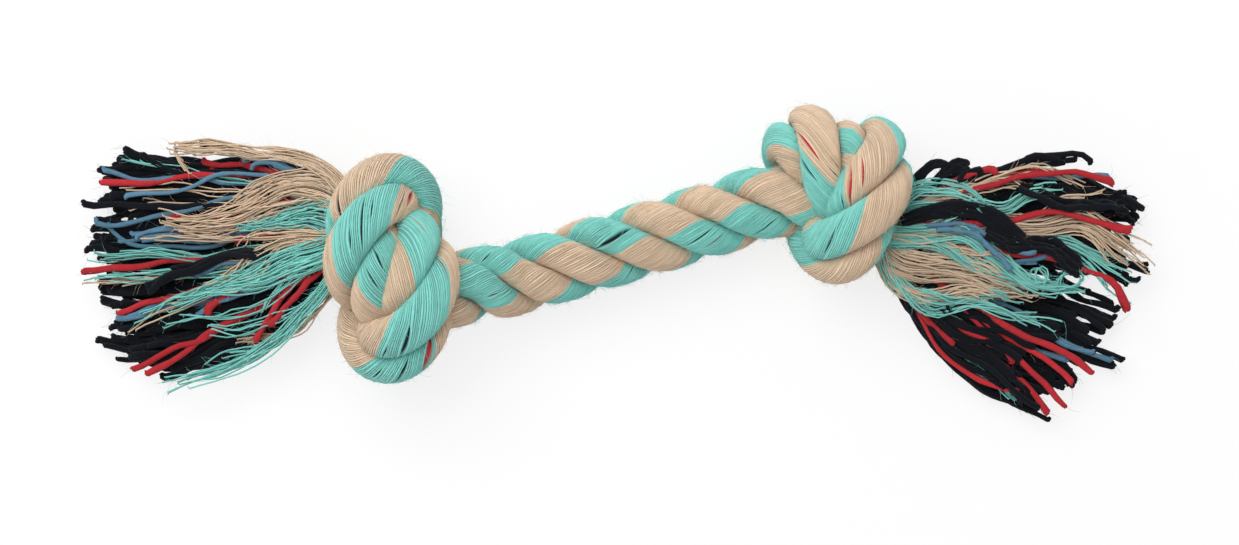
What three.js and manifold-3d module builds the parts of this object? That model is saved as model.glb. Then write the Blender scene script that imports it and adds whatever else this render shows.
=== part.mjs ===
// Rope toy for a dog: three laid strands, an overhand knot near each end and a frayed tassel past each knot.
// Millimetres, +Z up. The toy lies with its length along X and rests on z = 0, centred on the origin.

import * as THREE from 'three';
import { mergeVertices } from 'three/addons/utils/BufferGeometryUtils.js';
import Module from 'manifold-3d';

const wasm = await Module();
wasm.setup();

// Rope
const ropeDiameter = 21.5;
const layLength = 52.5;         // rope in which a strand goes once round, in the free stretch
const knotLayLength = 70;       // the same inside a knot, where tying opens the lay
const strandCount = 3;
const strandPlaceShare = 0.56;  // centre of a strand from the rope's centre line, of the rope's radius
const strandOutShare = 0.44;    // half thickness of a strand, outwards
const strandAroundShare = 0.6;  // half width of a strand, round the rope
const strandClearance = 0.35;   // between neighbouring strands, and between a cover and its core
const coverThickness = 1.5;     // layer of thin cover yarns round the core of each strand
const knotSlimShare = 0.95;     // how thick the rope is inside a knot, where it is pulled thin

// Free stretch between the knots
const middleLength = 62;
const neckLength = 16;          // bending stretch between the free middle and a knot
const middleTilt = THREE.MathUtils.degToRad(16.6);

// Tassels
const tasselLength = 74;
const tipHeight = 5.8;          // middle of the tassel's tips above the floor
const mouthPullShare = 0.33;    // how far the rope's own direction carries into a tassel, of its length
const droopShare = 0.5;         // how much of its height a tassel has lost by there

// How deep the flat is that each knot rests on
const restDepth = 1;

// Facets
const routeStep = 0.4;        // also the gap where one stretch of rope meets the next
const curveSteps = 60;        // for each point of the centre line, before it is cut into even steps
const mergeTolerance = 1e-4;  // corners nearer than this are one
const ringStep = 6;
const coverSides = 8;
const coreSides = 5;
const lockSides = 6;
const lockRings = 9;

// Half of an overhand knot's centre line, from its middle to its tail, as shares of the rope's diameter.
// The other half is the same, turned half a turn about y.
const knotHalfShares = [
  [0, -0.95, 0], [-0.15, -1.0, -0.8], [-0.55, -0.45, -1.35], [-0.95, 0.3, -1.25],
  [-1.0, 0.9, -0.6], [-0.65, 0.95, 0.15], [-0.1, 0.45, 0.65], [0.5, -0.1, 0.28],
];

// How each knot lies: roll about the rope, turn in plan, and its centre past the end of the free stretch.
// The lead points take the rope from the free stretch to the knot and from the knot to the tassel, from the
// knot's centre, and pulling the knot tight squeezes it along each axis. All but the angles are shares of the
// rope's diameter, or of the size itself for the squeeze.
const knots = {
  left: {
    side: -1,
    roll: THREE.MathUtils.degToRad(90),
    turn: THREE.MathUtils.degToRad(-28),
    centreShares: [-1.72, 0.42, 0.42],
    innerLeadShares: [[1.1, -0.5, -0.19]],
    outerLeadShares: [[-1.07, 0.56, -0.19], [-1.77, 0.47, -0.19], [-2.47, 0.4, -0.19], [-3.2, 0.35, -0.19]],
    squeezeShares: [0.65, 0.81, 0.75],
    halfWidthShare: 1.4,
    tasselAngle: THREE.MathUtils.degToRad(184),
  },
  right: {
    side: 1,
    roll: THREE.MathUtils.degToRad(30),
    turn: THREE.MathUtils.degToRad(5),
    centreShares: [1.5, 0.24, 0.426],
    innerLeadShares: [[-1.21, -0.12, -0.4]],
    outerLeadShares: [[1.16, -0.5, -0.05], [1.77, -0.98, -0.1], [2.38, -1.46, -0.15], [2.99, -1.94, -0.2]],
    squeezeShares: [0.66, 0.8, 0.62],
    halfWidthShare: 1.5,
    tasselAngle: THREE.MathUtils.degToRad(-20),
  },
};

// A knot's slack lay reaches to this share of its half width, then fades out over a share of the diameter.
const slackReachShare = 0.8;
const slackFadeShare = 0.6;

// Two places on the rope are different passes of a knot where more rope than this lies between them, and
// near passes where they are closer than this across, both as shares of the rope's diameter.
const passApartShare = 1.6;
const passNearShare = 2;

const colours = {
  mint: 0x73cdc0, beige: 0xd4bca0, black: 0x16191f, red: 0xcb343a, blue: 0x6996be,
};

// Each strand's end opens into five locks of yarn: its place in the strand's section and its size there, as
// shares of the section, and how long it is, as a share of the tassel.
const lockShares = [
  { colour: 'mint', around: 0.66, out: 0, size: 0.3, length: 0.9 },
  { colour: 'beige', around: -0.66, out: 0, size: 0.3, length: 0.82 },
  { colour: 'black', around: 0, out: 0.66, size: 0.3, length: 1 },
  { colour: 'red', around: 0, out: 0, size: 0.3, length: 0.94 },
  { colour: 'blue', around: 0, out: -0.66, size: 0.3, length: 0.87 },
];
const sideSpreadShare = 2.9;     // how much wider a tassel is at its tips than where it leaves the knot
const heightSpreadShare = -0.52; // and how much flatter
const spreadEase = 4.2;
const fanBendShare = 0.16;       // how far the outer locks fall short of the middle ones
const tipTaperShare = 0.7;       // width of a lock's tip, of its full width

const ropeRadius = ropeDiameter / 2;
const strandPlace = strandPlaceShare * ropeRadius;
const strandOut = strandOutShare * ropeRadius;
const strandAround = strandAroundShare * ropeRadius;

// Uniform cubic B-spline through the middle of its control points, at u counted in points.
function splinePoint(points, u) {
  const i = Math.min(Math.floor(u), points.length - 4);
  const t = u - i;
  const weights = [(1 - t) ** 3, 3 * t ** 3 - 6 * t ** 2 + 4, -3 * t ** 3 + 3 * t ** 2 + 3 * t + 1, t ** 3];
  const sum = new THREE.Vector3();
  weights.forEach((weight, k) => sum.addScaledVector(points[i + k], weight / 6));
  return sum;
}

// A knot's control points, from its left tail to its right tail, before it is squeezed.
function knotPoints(knot) {
  const half = knotHalfShares.map((share) => new THREE.Vector3(...share));
  const other = half.slice(1).reverse().map((p) => new THREE.Vector3(-p.x, p.y, -p.z));
  const turned = new THREE.Matrix4().makeRotationZ(knot.turn);
  turned.multiply(new THREE.Matrix4().makeRotationX(knot.roll));
  return [...other, ...half].map((p) => p.applyMatrix4(turned).multiplyScalar(ropeDiameter).add(knot.centre));
}

// The whole centre line's control points, from the left tassel to the right one.
function routeControl() {
  const direction = new THREE.Vector3(Math.cos(middleTilt), Math.sin(middleTilt), 0);
  const reach = middleLength / 2 + neckLength;
  for (const knot of Object.values(knots)) {
    knot.end = direction.clone().multiplyScalar(knot.side * reach);
    knot.centre = new THREE.Vector3(...knot.centreShares).multiplyScalar(ropeDiameter).add(knot.end);
    const lead = (shares) => new THREE.Vector3(...shares).multiplyScalar(ropeDiameter).add(knot.centre);
    knot.inner = knot.innerLeadShares.map(lead);
    knot.outer = knot.outerLeadShares.map(lead);
  }
  const spans = Math.round(2 * reach / ropeDiameter);
  const straight = [];
  for (let k = 0; k <= spans; k += 1) {
    straight.push(knots.left.end.clone().lerp(knots.right.end, k / spans));
  }
  return [
    ...knots.left.outer.slice().reverse(), ...knotPoints(knots.left), ...knots.left.inner,
    ...straight,
    ...knots.right.inner, ...knotPoints(knots.right), ...knots.right.outer,
  ];
}

// 1 up to the inner distance, then fading to 0 over the width.
function fadeOut(distance, inner, width) {
  return 1 - THREE.MathUtils.smoothstep(distance, inner, inner + width);
}

// Area under that fade from the middle out to a distance.
function fadeOutReach(distance, inner, width) {
  const t = THREE.MathUtils.clamp((distance - inner) / width, 0, 1);
  return Math.min(distance, inner) + width * (t - t ** 3 + t ** 4 / 2);
}

// Pulling the knots tight: each is squeezed about its own centre, and what lies past it is drawn in.
function squeeze(point) {
  const out = point.clone();
  for (const knot of Object.values(knots)) {
    const inner = knot.halfWidthShare * ropeDiameter;
    const away = point.x - knot.centre.x;
    const [along, across, up] = knot.squeezeShares;
    out.x -= (1 - along) * Math.sign(away) * fadeOutReach(Math.abs(away), inner, ropeRadius);
    const held = fadeOut(Math.abs(away), inner, ropeRadius);
    out.y += (across - 1) * held * (point.y - knot.centre.y);
    out.z += (up - 1) * held * (point.z - knot.centre.z);
  }
  return out;
}

// The route in even steps, with its direction and a normal that turns no more than it must.
function makeRoute() {
  const control = routeControl();
  const fine = [];
  const spans = control.length - 3;
  for (let k = 0; k <= spans * curveSteps; k += 1) {
    fine.push(splinePoint(control, k / curveSteps));
  }
  const lengths = [0];
  for (let k = 1; k < fine.length; k += 1) {
    lengths.push(lengths[k - 1] + fine[k].distanceTo(fine[k - 1]));
  }
  const total = lengths[lengths.length - 1];
  const count = Math.round(total / routeStep);
  const points = [];
  let at = 0;
  for (let k = 0; k <= count; k += 1) {
    const wanted = total * k / count;
    while (at < fine.length - 2 && lengths[at + 1] < wanted) at += 1;
    const share = (wanted - lengths[at]) / (lengths[at + 1] - lengths[at]);
    points.push(fine[at].clone().lerp(fine[at + 1], share));
  }
  const step = total / count;
  const tangents = points.map((p, k) => {
    const ahead = points[Math.min(k + 1, count)];
    return ahead.clone().sub(points[Math.max(k - 1, 0)]).normalize();
  });
  const normals = [new THREE.Vector3(0, 1, 0).projectOnPlane(tangents[0]).normalize()];
  for (let k = 1; k <= count; k += 1) {
    const turn = new THREE.Quaternion().setFromUnitVectors(tangents[k - 1], tangents[k]);
    normals.push(normals[k - 1].clone().applyQuaternion(turn).projectOnPlane(tangents[k]).normalize());
  }
  return { points, tangents, normals, step, count };
}

const route = makeRoute();

// How much of a knot a place on the route is in, from 0 to 1.
function knotShare(index) {
  const inKnot = Object.values(knots).map((knot) => {
    const away = Math.abs(route.points[index].x - knot.centre.x);
    const reach = slackReachShare * knot.halfWidthShare * ropeDiameter;
    return fadeOut(away, reach, slackFadeShare * ropeDiameter);
  });
  return Math.max(...inKnot);
}

// The turn of the lay at each place, counted from the middle of the free stretch.
function makeLay() {
  const rates = route.points.map((p, k) => {
    const share = knotShare(k);
    return 2 * Math.PI * ((1 - share) / layLength + share / knotLayLength);
  });
  const lay = [0];
  for (let k = 1; k < rates.length; k += 1) {
    lay.push(lay[k - 1] + route.step * (rates[k] + rates[k - 1]) / 2);
  }
  return lay.map((angle) => angle - lay[route.middle]);
}

function nearestIndex(test) {
  let best = 0;
  route.points.forEach((p, k) => {
    if (test(p) < test(route.points[best])) best = k;
  });
  return best;
}

route.middle = nearestIndex((p) => p.length());
route.lay = makeLay();

// Where a strand lies round the centre line at a place: from the line out through the strand, and around.
function strandAxes(strand, index) {
  const angle = route.lay[index] + 2 * Math.PI * strand / strandCount;
  const outward = route.normals[index].clone().applyAxisAngle(route.tangents[index], angle);
  const around = route.tangents[index].clone().cross(outward);
  return { outward, around };
}

// One ring of a strand's section at a place on the route: an ellipse square to the rope's centre line, with
// so many corners, shrunk by so much all round.
function strandRing(strand, index, shrink, sides) {
  const slim = 1 - (1 - knotSlimShare) * knotShare(index);
  const { outward, around } = strandAxes(strand, index);
  const ring = [];
  for (let k = 0; k < sides; k += 1) {
    const phi = 2 * Math.PI * k / sides;
    const radial = strandPlace * slim + (strandOut * slim - shrink) * Math.cos(phi);
    const tangential = (strandAround * slim - shrink) * Math.sin(phi);
    const point = route.points[index].clone().addScaledVector(outward, radial);
    ring.push(squeeze(point.addScaledVector(around, tangential)));
  }
  return ring;
}

// Closed skin over rings of equal length: side faces and a fan over each end.
function skin(rings) {
  const sides = rings[0].length;
  const corners = rings.flat();
  const faces = [];
  for (let k = 0; k + 1 < rings.length; k += 1) {
    for (let j = 0; j < sides; j += 1) {
      const a = k * sides + j;
      const b = k * sides + (j + 1) % sides;
      faces.push([a, b, b + sides], [a, b + sides, a + sides]);
    }
  }
  const last = (rings.length - 1) * sides;
  for (let j = 1; j + 1 < sides; j += 1) {
    faces.push([0, j + 1, j], [last, last + j, last + j + 1]);
  }
  return geometryOf(corners, faces);
}

// Closed skin of a hollow tube: the outer rings, the inner rings turned inside out, and a rim at each end.
function hollowSkin(outer, inner) {
  const corners = [...outer.flat(), ...inner.flat()];
  const sidesOut = outer[0].length;
  const sidesIn = inner[0].length;
  const start = outer.length * sidesOut;
  const faces = [];
  for (let k = 0; k + 1 < outer.length; k += 1) {
    for (let j = 0; j < sidesOut; j += 1) {
      const a = k * sidesOut + j;
      const b = k * sidesOut + (j + 1) % sidesOut;
      faces.push([a, b, b + sidesOut], [a, b + sidesOut, a + sidesOut]);
    }
    for (let j = 0; j < sidesIn; j += 1) {
      const a = start + k * sidesIn + j;
      const b = start + k * sidesIn + (j + 1) % sidesIn;
      faces.push([a, b + sidesIn, b], [a, a + sidesIn, b + sidesIn]);
    }
  }
  const lastOut = (outer.length - 1) * sidesOut;
  const lastIn = start + (inner.length - 1) * sidesIn;
  let o = 0;
  let i = 0;
  while (o < sidesOut || i < sidesIn) {
    const outerNext = (o + 1) / sidesOut;
    const innerNext = (i + 1) / sidesIn;
    const oNow = o % sidesOut;
    const iNow = i % sidesIn;
    if (i === sidesIn || (o < sidesOut && outerNext <= innerNext)) {
      const oNext = (o + 1) % sidesOut;
      faces.push([oNow, start + iNow, oNext], [lastOut + oNow, lastOut + oNext, lastIn + iNow]);
      o += 1;
    } else {
      const iNext = (i + 1) % sidesIn;
      faces.push([oNow, start + iNow, start + iNext], [lastOut + oNow, lastIn + iNext, lastIn + iNow]);
      i += 1;
    }
  }
  return geometryOf(corners, faces);
}

function geometryOf(corners, faces) {
  const geometry = new THREE.BufferGeometry();
  const positions = new Float32Array(corners.flatMap((p) => [p.x, p.y, p.z]));
  geometry.setAttribute('position', new THREE.BufferAttribute(positions, 3));
  geometry.setIndex(faces.flat());
  return geometry;
}

function toSolid(geometry) {
  const plain = geometry.clone();
  plain.deleteAttribute('normal');
  plain.deleteAttribute('uv');
  const merged = mergeVertices(plain, mergeTolerance);
  return new wasm.Manifold(new wasm.Mesh({
    numProp: 3,
    vertProperties: new Float32Array(merged.attributes.position.array),
    triVerts: new Uint32Array(merged.index.array),
  }));
}

function fromSolid(solid) {
  const mesh = solid.getMesh();
  const geometry = new THREE.BufferGeometry();
  geometry.setAttribute('position', new THREE.BufferAttribute(new Float32Array(mesh.vertProperties), 3));
  geometry.setIndex(new THREE.BufferAttribute(new Uint32Array(mesh.triVerts), 1));
  return geometry;
}

const pieces = [];

function addPiece(name, geometry, colour) {
  const material = new THREE.MeshStandardMaterial({ color: colours[colour], roughness: 0.95, metalness: 0 });
  const mesh = new THREE.Mesh(geometry, material);
  mesh.name = name;
  pieces.push(mesh);
  return mesh;
}

// Places along the route where a ring stands, from one cut to the next.
function ringPlaces(from, to) {
  const rings = Math.max(2, Math.round((to - from) * route.step / ringStep) + 1);
  const places = [];
  for (let k = 0; k < rings; k += 1) {
    places.push(Math.round(from + (to - from) * k / (rings - 1)));
  }
  return places;
}

// One stretch of the rope: three hollow covers with their cores, or three plain strands where it bends.
function addStretch(name, from, to, hollow) {
  const places = ringPlaces(from, to - 1);
  for (let strand = 0; strand < strandCount; strand += 1) {
    const coverColour = strand % 2 === 0 ? 'mint' : 'beige';
    const shrink = strandClearance / 2;
    const outer = places.map((index) => strandRing(strand, index, shrink, coverSides));
    if (hollow) {
      const inside = shrink + coverThickness;
      const inner = places.map((index) => strandRing(strand, index, inside, coreSides));
      const core = places.map((index) => strandRing(strand, index, inside + strandClearance, coreSides));
      addPiece(`${name}_strand_${strand + 1}`, hollowSkin(outer, inner), coverColour);
      addPiece(`${name}_core_${strand + 1}`, skin(core), 'black');
    } else {
      addPiece(`${name}_strand_${strand + 1}`, skin(outer), coverColour);
    }
  }
}

const steps = (length) => Math.round(length / route.step);
const middleEnd = steps(middleLength / 2);
const neckEnd = steps(middleLength / 2 + neckLength);

for (const knot of Object.values(knots)) {
  knot.mouth = nearestIndex((p) => p.distanceTo(knot.outer[0]));
}

addStretch('middle', route.middle - middleEnd, route.middle + middleEnd, true);
addStretch('left_neck', route.middle - neckEnd, route.middle - middleEnd, false);
addStretch('right_neck', route.middle + middleEnd, route.middle + neckEnd, false);
addStretch('left_knot', knots.left.mouth + 1, route.middle - neckEnd, true);
addStretch('right_knot', route.middle + neckEnd, knots.right.mouth, true);

// The two knots carry the toy: each is cut flat at the level of the floor.
const knotBoxes = Object.keys(knots).map((name) => {
  const box = new THREE.Box3();
  pieces.filter((mesh) => mesh.name.startsWith(`${name}_knot`)).forEach((mesh) => box.expandByObject(mesh));
  return box;
});
const floorLevel = Math.min(...knotBoxes.map((box) => box.min.z)) + restDepth;
const slabSize = route.step * route.count; // the length of the whole rope, so wider than the toy
const slab = new THREE.BoxGeometry(slabSize, slabSize, slabSize);
slab.translate(0, 0, floorLevel + slabSize / 2);
const aboveFloor = toSolid(slab);
for (const mesh of pieces) {
  mesh.geometry.computeBoundingBox();
  if (mesh.geometry.boundingBox.min.z < floorLevel) {
    mesh.geometry = fromSolid(toSolid(mesh.geometry).intersect(aboveFloor));
  }
}

// A tassel's middle line: out of the knot along the rope, then over to the tassel's own direction and down.
function tasselLine(knot) {
  const start = squeeze(route.points[knot.mouth]);
  const ahead = squeeze(route.points[knot.mouth + knot.side * steps(2 * routeStep)]);
  const direction = ahead.sub(start).normalize();
  const end = start.clone();
  end.x += tasselLength * Math.cos(knot.tasselAngle);
  end.y += tasselLength * Math.sin(knot.tasselAngle);
  end.z = floorLevel + tipHeight;
  const bend = start.clone().addScaledVector(direction, tasselLength * mouthPullShare);
  bend.z += (end.z - start.z) * droopShare;
  return new THREE.QuadraticBezierCurve3(start, bend, end);
}

// One lock of yarn. Every lock of a tassel follows the same spread, so no two of them meet.
function lockGeometry(knot, line, strand, lock) {
  const { outward, around } = strandAxes(strand, knot.mouth);
  const place = (radial, tangential) => {
    return outward.clone().multiplyScalar(radial).addScaledVector(around, tangential);
  };
  const middle = place(strandPlace + strandOut * lock.out, strandAround * lock.around);
  const corners = [];
  for (let k = 0; k < lockSides; k += 1) {
    const phi = 2 * Math.PI * k / lockSides;
    const radial = strandOut * lock.size * Math.cos(phi);
    corners.push(place(radial, strandAround * lock.size * Math.sin(phi)));
  }
  const up = new THREE.Vector3(0, 0, 1);
  const first = line.getTangent(0);
  const firstSide = up.clone().cross(first).normalize();
  const firstUp = first.clone().cross(firstSide);
  const reach = lock.length * (1 - fanBendShare * (middle.dot(firstSide) / ropeRadius) ** 2);
  const rings = [];
  const root = route.points[knot.mouth].clone().add(middle);
  rings.push(corners.map((corner) => squeeze(root.clone().add(corner))));
  for (let k = 1; k < lockRings; k += 1) {
    const u = reach * k / (lockRings - 1);
    const at = line.getPoint(u);
    const side = up.clone().cross(line.getTangent(u)).normalize();
    const rise = line.getTangent(u).cross(side);
    const ease = 1 - (1 - u) ** spreadEase;
    const wide = 1 + sideSpreadShare * ease;
    const high = 1 + heightSpreadShare * ease;
    const taper = k === lockRings - 1 ? tipTaperShare : 1;
    rings.push(corners.map((corner) => {
      const offset = middle.clone().addScaledVector(corner, taper);
      const point = at.clone().addScaledVector(side, offset.dot(firstSide) * wide);
      return point.addScaledVector(rise, offset.dot(firstUp) * high);
    }));
  }
  return skin(rings);
}

for (const [name, knot] of Object.entries(knots)) {
  const line = tasselLine(knot);
  for (let strand = 0; strand < strandCount; strand += 1) {
    for (const lock of lockShares) {
      const geometry = lockGeometry(knot, line, strand, lock);
      addPiece(`${name}_tassel_${lock.colour}_${strand + 1}`, geometry, lock.colour);
    }
  }
}

// Faces point outwards whichever way a ring ran round.
for (const mesh of pieces) {
  const position = mesh.geometry.attributes.position;
  const index = mesh.geometry.index;
  const corner = (k) => new THREE.Vector3().fromBufferAttribute(position, index.getX(k));
  let volume = 0;
  for (let k = 0; k < index.count; k += 3) {
    volume += corner(k).dot(corner(k + 1).cross(corner(k + 2)));
  }
  if (volume < 0) {
    for (let k = 0; k < index.count; k += 3) {
      const swap = index.getX(k);
      index.setX(k, index.getX(k + 1));
      index.setX(k + 1, swap);
    }
  }
}

const toy = new THREE.Group();
pieces.forEach((mesh) => toy.add(mesh));
const box = new THREE.Box3().setFromObject(toy);
toy.position.set(-(box.min.x + box.max.x) / 2, -(box.min.y + box.max.y) / 2, -floorLevel);
toy.updateMatrixWorld(true);

// Least gap between passes of the rope inside the knots, measured between the strands' outer corners.
function leastGap() {
  const nearPass = steps(passApartShare * ropeDiameter);
  const places = ringPlaces(knots.left.mouth, knots.right.mouth);
  const rings = places.map((index) => {
    const strands = [...Array(strandCount).keys()];
    return strands.flatMap((strand) => strandRing(strand, index, strandClearance / 2, 2 * coverSides));
  });
  let least = Infinity;
  places.forEach((index, a) => {
    for (let b = a + 1; b < places.length; b += 1) {
      const far = places[b] - index > nearPass;
      const across = squeeze(route.points[index]).distanceTo(squeeze(route.points[places[b]]));
      if (far && across < passNearShare * ropeDiameter) {
        for (const p of rings[a]) {
          for (const q of rings[b]) least = Math.min(least, p.distanceTo(q));
        }
      }
    }
  });
  return least;
}

console.log('least gap of the rope to itself', leastGap().toFixed(2), 'mm');
const shown = (p) => p.clone().add(toy.position).toArray().map((v) => v.toFixed(2)).join(', ');
const size = box.getSize(new THREE.Vector3());
console.log('size', size.toArray().map((v) => v.toFixed(1)).join(' x '), 'floor', floorLevel.toFixed(2));
console.log('knots', knotBoxes.map((b) => `${shown(b.min)} to ${shown(b.max)}`).join(' | '));
for (const [name, knot] of Object.entries(knots)) {
  const neck = squeeze(route.points[route.middle + knot.side * steps(middleLength / 2 + neckLength / 2)]);
  console.log(name, 'bend at', shown(neck), 'mouth at', shown(squeeze(route.points[knot.mouth])));
}

export default toy;
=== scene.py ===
# Rope toy for a dog: three laid strands, an overhand knot near each end and a frayed tassel past each knot.
# Metres, +Z up. The toy lies on z = 0 with its length along X, as in the frame.

import math

import bpy
import numpy as np
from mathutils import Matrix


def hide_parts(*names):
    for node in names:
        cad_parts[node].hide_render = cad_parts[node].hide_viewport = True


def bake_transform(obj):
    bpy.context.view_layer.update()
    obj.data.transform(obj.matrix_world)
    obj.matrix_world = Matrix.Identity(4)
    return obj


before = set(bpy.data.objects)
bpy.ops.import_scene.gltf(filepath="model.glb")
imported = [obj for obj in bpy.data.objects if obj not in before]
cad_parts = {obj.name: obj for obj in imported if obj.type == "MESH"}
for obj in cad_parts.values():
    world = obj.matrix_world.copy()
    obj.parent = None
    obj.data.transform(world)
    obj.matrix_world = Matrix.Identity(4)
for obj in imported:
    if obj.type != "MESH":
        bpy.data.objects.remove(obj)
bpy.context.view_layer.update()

# Camera: a long lens high above the toy, looking straight down, as the photograph was taken.
# The photograph's pixels are the scale for every place that is read from it.
photo_width = 1239
photo_height = 545
pixel = 0.000287
rope_middle = np.array([0.00206, 0.00471, 0.0176])
rope_middle_pixel = np.array([617, 248])
camera_height = 1.3
camera_near = 0.1
camera_far = 10
sensor_width = 36


def place(x, y, z):
    """Place in the frame of the photograph's pixel x, y at height z, by its way from the rope's middle."""
    right = rope_middle[0] + (x - rope_middle_pixel[0]) * pixel
    back = rope_middle[1] + (rope_middle_pixel[1] - y) * pixel
    return np.stack(np.broadcast_arrays(right, back, z), -1)


camera = bpy.data.objects.new("camera", bpy.data.cameras.new("camera"))
bpy.context.scene.collection.objects.link(camera)
bpy.context.scene.camera = camera
camera.location = place(photo_width / 2, photo_height / 2, camera_height)
camera.data.sensor_width = sensor_width
camera.data.lens = sensor_width * (camera_height - rope_middle[2]) / (photo_width * pixel)
camera.data.clip_start = camera_near
camera.data.clip_end = camera_far

# Rope covers: the layer of thin yarns round each of the three strands, from the rope's middle to a tassel.
# Fifty-six twisted cotton yarns lie side by side on a strand, half of them mint and half beige. The lay and
# the knots hold them. Half a strand is one skin, which swells over each yarn and parts where the core shows.
rope_diameter = 0.0215
rope_radius = rope_diameter / 2
rope_tilt = math.radians(16.6)
straight_reach = 0.047
straight_spans = 3
spare_spans = 2
tail_points = 4
lay_length = 0.048
lay_offset = math.radians(-57)
yarn_turns = 2.3
strand_place_share = 0.56
strand_out_share = 0.44
strand_around_share = 0.6
route_step = 0.001
spline_steps = 24
knot_ramp = 0.0129
tail_length = 0.001
tail_taper = 0.009
tail_width_share = 0.5
neck_fade = 0.02

# Half of an overhand knot's centre line, from its middle to its tail, as shares of the rope's diameter.
# The other half is the same, turned half a turn about y.
knot_half_shares = np.array([
    [0, -0.95, 0], [-0.15, -1.0, -0.8], [-0.55, -0.45, -1.35], [-0.95, 0.3, -1.25],
    [-1.0, 0.9, -0.6], [-0.65, 0.95, 0.15], [-0.1, 0.45, 0.65], [0.5, -0.1, 0.28],
])

# How each knot lies, as in the photograph. Shares are of the rope's diameter, or of the size itself for the
# squeeze and the swell. The lay turns by its slack where the knot begins. The cover of each strand is twisted
# round the strand by the listed angles, one every cover_twist_step from the rope's middle.
# Each slit is the pixel at its middle, its length and width in pixels and the colour of the yarn inside it.
cover_twist_step = 0.044
knots = {
    "left": {
        "side": -1,
        "roll": math.radians(86.2),
        "turn": math.radians(-34.3),
        "centre_shares": [-1.43, 0.355, 0.498],
        "inner_lead_shares": [1.13, -0.451, -0.069],
        "outer_lead_shares": [-1.212, 0.771, -0.079],
        "tail_step_shares": [-0.7, -0.09, 0],
        "squeeze_shares": [0.679, 0.684, 0.562],
        "half_width_share": 1.4,
        "swell_share": 1.09,
        "lay_length": 0.0535,
        "lay_slack": math.radians(-25),
        "cover_twist": np.radians([
            [150, 120, 75, 60, 30, 30], [120, 135, 135, 165, 135, 165], [-15, 15, 30, -15, -45, -30],
        ]),
        "slits": [
            (617, 236, 46, 5, "black"), (606, 226, 26, 1.4, "black"), (611, 284, 28, 1.6, "black"),
            (489, 254, 16, 1.8, "black"), (495, 296, 12, 2, "red"), (468, 330, 26, 1.8, "black"),
            (342, 193, 36, 3.8, "black"), (366, 226, 34, 1.8, "black"), (355, 242, 10, 1.8, "black"),
            (406, 207, 30, 2, "black"), (415, 200, 21, 6, "red"), (378, 208, 15, 1.2, "black"),
            (384, 262, 24, 2, "black"), (424, 224, 18, 1.5, "red"), (448, 268, 21, 1.5, "red"),
            (377, 279, 20, 1.4, "black"), (410, 344, 27, 3.8, "black"), (388, 351, 10, 1.4, "black"),
            (404, 373, 27, 2.8, "black"), (432, 359, 26, 7.5, "red"), (440, 350, 12, 1.3, "black"),
            (379, 374, 13, 1.3, "black"),
        ],
    },
    "right": {
        "side": 1,
        "roll": math.radians(6.9),
        "turn": math.radians(-5.3),
        "centre_shares": [1.64, 0.095, 0.224],
        "inner_lead_shares": [-0.842, -0.12, -0.284],
        "outer_lead_shares": [1.136, -0.683, -0.282],
        "tail_step_shares": [0.61, -0.48, -0.05],
        "squeeze_shares": [0.52, 0.69, 0.418],
        "half_width_share": 1.5,
        "swell_share": 1.025,
        "lay_length": 0.0525,
        "lay_slack": math.radians(-8.5),
        "cover_twist": np.radians([
            [150, 150, 195, 210, 195, 195], [120, 135, 225, 240, 255, 255], [-15, 0, 60, 15, -75, -60],
        ]),
        "slits": [
            (617, 236, 46, 5, "black"), (611, 284, 28, 1.6, "black"), (697, 240, 33, 2.2, "black"),
            (712, 243, 25, 1.8, "red"), (760, 231, 32, 2.2, "black"), (760, 241, 9, 1.3, "black"),
            (802, 142, 36, 2.8, "red"), (799, 165, 34, 4, "black"), (836, 167, 8, 1.6, "black"),
            (833, 175, 8, 1.6, "black"), (846, 184, 38, 4, "red"), (857, 175, 26, 2.2, "red"),
            (856, 117, 20, 1.6, "red"), (838, 219, 20, 1.4, "black"), (825, 242, 20, 2.2, "black"),
            (838, 204, 10, 1.4, "black"),
        ],
    },
}


def smooth(t):
    """Smoothstep of t between 0 and 1."""
    t = np.clip(t, 0, 1)
    return t * t * (3 - 2 * t)


def spline(control, steps):
    """Uniform cubic B-spline: each span blends its four control points by the cubic B-spline weights."""
    spans = len(control) - 3
    u = np.linspace(0, spans, spans * steps + 1)
    first = np.minimum(u.astype(int), spans - 1)
    t = (u - first)[:, None]
    blended = (1 - t) ** 3 * control[first] + (3 * t**3 - 6 * t**2 + 4) * control[first + 1]
    blended += (-3 * t**3 + 3 * t**2 + 3 * t + 1) * control[first + 2] + t**3 * control[first + 3]
    return blended / 6


def distances(points):
    """Distance along a line of points, from its first point to each."""
    return np.r_[0, np.cumsum(np.linalg.norm(np.diff(points, axis=0), axis=1))]


def turned(points, roll, turn):
    """Points turned about x by the roll and then about z by the turn."""
    x, y, z = points.T
    y, z = y * math.cos(roll) - z * math.sin(roll), y * math.sin(roll) + z * math.cos(roll)
    x, y = x * math.cos(turn) - y * math.sin(turn), x * math.sin(turn) + y * math.cos(turn)
    return np.stack([x, y, z], 1)


def unit(vectors):
    """Vectors scaled to length 1."""
    return vectors / np.linalg.norm(vectors, axis=-1, keepdims=True)


def toward_knot(knot):
    """Direction from the rope's middle to a knot, along the rope's tilt."""
    return np.array([math.cos(rope_tilt), math.sin(rope_tilt), 0]) * knot["side"]


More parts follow.
